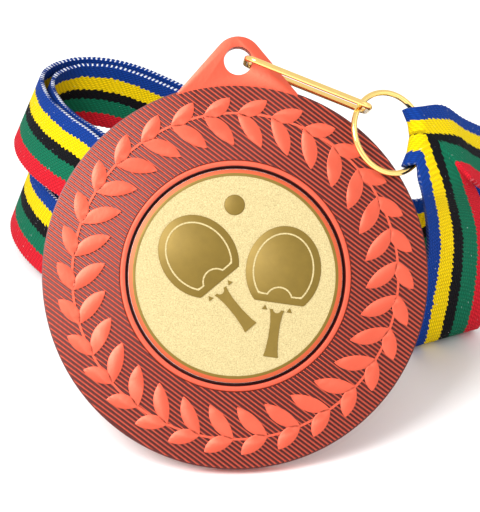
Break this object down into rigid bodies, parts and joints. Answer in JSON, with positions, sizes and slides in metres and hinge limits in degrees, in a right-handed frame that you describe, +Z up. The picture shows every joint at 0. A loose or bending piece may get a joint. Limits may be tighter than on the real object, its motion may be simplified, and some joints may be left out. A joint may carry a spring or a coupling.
{
  "type": "medal with neck ribbon",
  "caption": "Round die-cast award medal with a laurel rim and a raised centre emblem, hung by a wire link and ring from a striped woven neck ribbon that lies coiled behind it.",
  "frame": {"origin": "on the surface it stands on, under the middle of its box", "axes": "+Z up, -Y the way the medal faces, +X to the right as seen from the front"},
  "size_m": [0.0662, 0.0754, 0.0448],
  "materials": {
    "lacquered_casting": "satin red bronze lacquer",
    "gilt_wire": "polished gold plate",
    "embossed_foil": "grained and polished gold foil",
    "emblem_plastic": "plain",
    "adhesive_pad": "soft foam",
    "woven_ribbon": "woven stripes of blue, yellow, black, green and red",
    "sewing_thread": "polyester thread"
  },
  "bodies": {
    "medal": {"medal_casting": "lacquered_casting", "emblem_adhesive": "adhesive_pad", "emblem_core": "emblem_plastic", "emblem_foil": "embossed_foil"},
    "link": {"oblong_link": "gilt_wire"},
    "ring": {"jump_ring": "gilt_wire"},
    "ribbon": {"ribbon": "woven_ribbon", "seam_thread": "sewing_thread"}
  },
  "joints": [
    {"name": "link_swing", "type": "hinge", "parent": "medal", "child": "link", "pos_m": [-0.00361, -0.01322, 0.04174], "axis": [0, -0.866, 0.5], "range_deg": [0, 120]},
    {"name": "ring_swing", "type": "hinge", "parent": "link", "child": "ring", "pos_m": [0.01043, -0.0162, 0.03658], "axis": [0, -0.866, 0.5], "range_deg": [0, 60]},
    {"name": "ribbon_turn", "type": "hinge", "parent": "ring", "child": "ribbon", "pos_m": [0.01277, -0.01913, 0.03491], "axis": [0.4869, -0.6755, 0.5537], "range_deg": [0, 60]}
  ]
}
